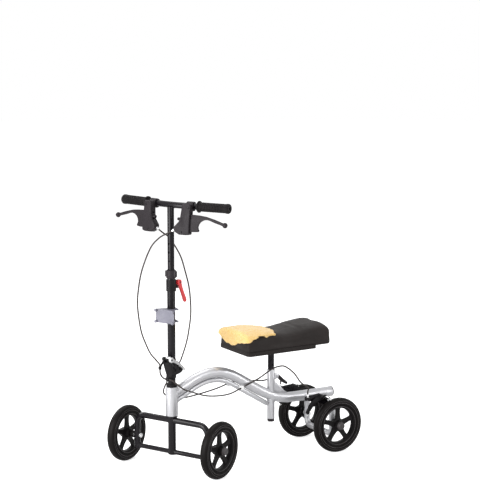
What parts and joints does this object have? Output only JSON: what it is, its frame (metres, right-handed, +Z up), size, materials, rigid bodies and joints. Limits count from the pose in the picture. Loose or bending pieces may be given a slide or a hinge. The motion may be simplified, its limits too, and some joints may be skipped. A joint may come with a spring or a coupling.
{
  "type": "knee walker",
  "caption": "Steerable knee walker with a hump-backed frame, padded knee rest, folding height-adjustable tiller, hand brakes and spoked wheels.",
  "frame": {"origin": "on the floor under the middle of the walker's bounding box, with the front wheels turned as stored", "axes": "+Z up, the walker travels towards -Y, +X is the rider's left"},
  "size_m": [0.472, 0.9054, 0.9666],
  "materials": {
    "silver_frame": "bright silver paint, satin gloss",
    "black_paint": "gloss black paint",
    "black_casting": "satin black cast metal",
    "dark_plastic": "matte dark plastic",
    "tyre": "matte black rubber",
    "rim_plastic": "satin black plastic",
    "bright_steel": "bright zinc or chrome plate",
    "grey_bracket": "matte dark grey",
    "grip_rubber": "matte black rubber",
    "red_lever": "gloss red plastic",
    "white_clip": "matte white plastic",
    "cable_sheath": "dark brown-black cable sheath",
    "pad_cover": "black fabric-backed leatherette",
    "fleece": "cream fleece, curly"
  },
  "bodies": {
    "frame": {"head_tube": "silver_frame", "backbone_tube": "silver_frame", "backbone_cap": "dark_plastic", "brace_tube": "silver_frame", "seat_tube": "silver_frame", "seat_tube_plug": "dark_plastic", "seat_gusset": "silver_frame", "rear_frame": "silver_frame", "brake_bracket_left": "black_paint", "brake_bracket_right": "black_paint", "cable_anchor_left": "bright_steel", "cable_anchor_right": "bright_steel", "cable_clip_left": "white_clip", "cable_clip_right": "white_clip", "axle_rear_left": "bright_steel", "axle_rear_right": "bright_steel", "cable_left_lower": "cable_sheath", "cable_right_lower": "cable_sheath"},
    "fork": {"front_frame": "black_paint", "fold_base": "black_casting", "axle_front_left": "bright_steel", "axle_front_right": "bright_steel"},
    "tiller": {"fold_head": "black_casting", "tiller_tube": "black_paint", "height_collar": "dark_plastic", "clamp_block": "black_casting", "basket_bracket": "grey_bracket", "cable_left_fold": "cable_sheath", "cable_right_fold": "cable_sheath", "cable_left_upper": "cable_sheath", "cable_right_upper": "cable_sheath"},
    "fold_lever": {"fold_lever": "bright_steel"},
    "clamp_lever": {"clamp_lever": "red_lever"},
    "lock_pin": {"lock_pin": "dark_plastic"},
    "handlebar": {"handlebar": "black_paint", "grip_left": "grip_rubber", "grip_right": "grip_rubber", "brake_housing_left": "dark_plastic", "brake_housing_right": "dark_plastic"},
    "brake_lever_left": {"brake_lever_left": "dark_plastic"},
    "brake_lever_right": {"brake_lever_right": "dark_plastic"},
    "brake_arm_left": {"brake_arm_left": "black_casting", "brake_shoe_left": "bright_steel"},
    "brake_arm_right": {"brake_arm_right": "black_casting", "brake_shoe_right": "bright_steel"},
    "seat": {"seat_post": "black_paint", "seat_board": "dark_plastic", "seat_cushion": "pad_cover", "fleece_cover": "fleece"},
    "seat_lever": {"seat_lever": "dark_plastic"},
    "wheel_front_left": {"tyre_front_left": "tyre", "rim_front_left": "rim_plastic"},
    "wheel_front_right": {"tyre_front_right": "tyre", "rim_front_right": "rim_plastic"},
    "wheel_rear_left": {"tyre_rear_left": "tyre", "rim_rear_left": "rim_plastic"},
    "wheel_rear_right": {"tyre_rear_right": "tyre", "rim_rear_right": "rim_plastic"}
  },
  "joints": [
    {"name": "steering", "type": "hinge", "parent": "frame", "child": "fork", "pos_m": [0, -0.275, 0.25], "axis": [0, 0, 1], "range_deg": [-59.4, 10.6], "deforming": ["cable_left_lower", "cable_right_lower"]},
    {"name": "tiller_fold", "type": "hinge", "parent": "fork", "child": "tiller", "pos_m": [-0.01528, -0.2413, 0.357], "axis": [0.9107, 0.4131, 0], "range_deg": [-50, 0], "deforming": ["cable_left_fold", "cable_right_fold"]},
    {"name": "fold_lever_turn", "type": "hinge", "parent": "fork", "child": "fold_lever", "pos_m": [0.01198, -0.30141, 0.404], "axis": [0.9107, 0.4131, 0], "range_deg": [0, 80]},
    {"name": "bar_height", "type": "slide", "parent": "tiller", "child": "handlebar", "axis": [0, 0, 1], "range_m": [-0.155, 0.031], "deforming": ["cable_left_upper", "cable_right_upper"]},
    {"name": "clamp_lever_turn", "type": "hinge", "parent": "tiller", "child": "clamp_lever", "pos_m": [-0.00971, -0.2536, 0.673], "axis": [0.9107, 0.4131, 0], "range_deg": [0, 80]},
    {"name": "lock_pin_pull", "type": "slide", "parent": "tiller", "child": "lock_pin", "axis": [-0.4131, 0.9107, 0], "range_m": [0, 0.008], "stiffness_N_per_m": 400, "springref_m": -0.004},
    {"name": "brake_lever_left_pull", "type": "hinge", "parent": "handlebar", "child": "brake_lever_left", "pos_m": [0.06766, -0.26586, 0.90776], "axis": [0.5159, -0.8452, 0.1392], "range_deg": [0, 12], "stiffness_Nm_per_rad": 2, "springref_deg": -8.59},
    {"name": "brake_lever_right_pull", "type": "hinge", "parent": "handlebar", "child": "brake_lever_right", "pos_m": [-0.05144, -0.31989, 0.90776], "axis": [-0.2961, 0.945, -0.1392], "range_deg": [0, 12], "stiffness_Nm_per_rad": 2, "springref_deg": -8.59},
    {"name": "brake_arm_left_turn", "type": "hinge", "parent": "frame", "child": "brake_arm_left", "pos_m": [0, 0.2959, 0.20701], "axis": [-1, 0, 0], "range_deg": [0, 6.2]},
    {"name": "brake_arm_right_turn", "type": "hinge", "parent": "frame", "child": "brake_arm_right", "pos_m": [0, 0.2959, 0.20701], "axis": [-1, 0, 0], "range_deg": [0, 6.2]},
    {"name": "seat_height", "type": "slide", "parent": "frame", "child": "seat", "axis": [0, 0, 1], "range_m": [-0.05, 0.06]},
    {"name": "seat_lever_turn", "type": "hinge", "parent": "frame", "child": "seat_lever", "pos_m": [0, 0.1604, 0.286], "axis": [1, 0, 0], "range_deg": [0, 60]},
    {"name": "front_left_spin", "type": "hinge", "parent": "fork", "child": "wheel_front_left", "pos_m": [0.18578, -0.19073, 0.1015], "axis": [0.9107, 0.4131, 0], "continuous": true},
    {"name": "front_right_spin", "type": "hinge", "parent": "fork", "child": "wheel_front_right", "pos_m": [-0.18578, -0.35927, 0.1015], "axis": [0.9107, 0.4131, 0], "continuous": true},
    {"name": "rear_left_spin", "type": "hinge", "parent": "frame", "child": "wheel_rear_left", "pos_m": [0.1195, 0.352, 0.1015], "axis": [1, 0, 0], "continuous": true},
    {"name": "rear_right_spin", "type": "hinge", "parent": "frame", "child": "wheel_rear_right", "pos_m": [-0.1195, 0.352, 0.1015], "axis": [1, 0, 0], "continuous": true}
  ],
  "couplings": [
    {"joint": "brake_arm_left_turn", "follows": "brake_lever_left_pull", "ratio": 0.5},
    {"joint": "brake_arm_right_turn", "follows": "brake_lever_right_pull", "ratio": 0.5}
  ]
}
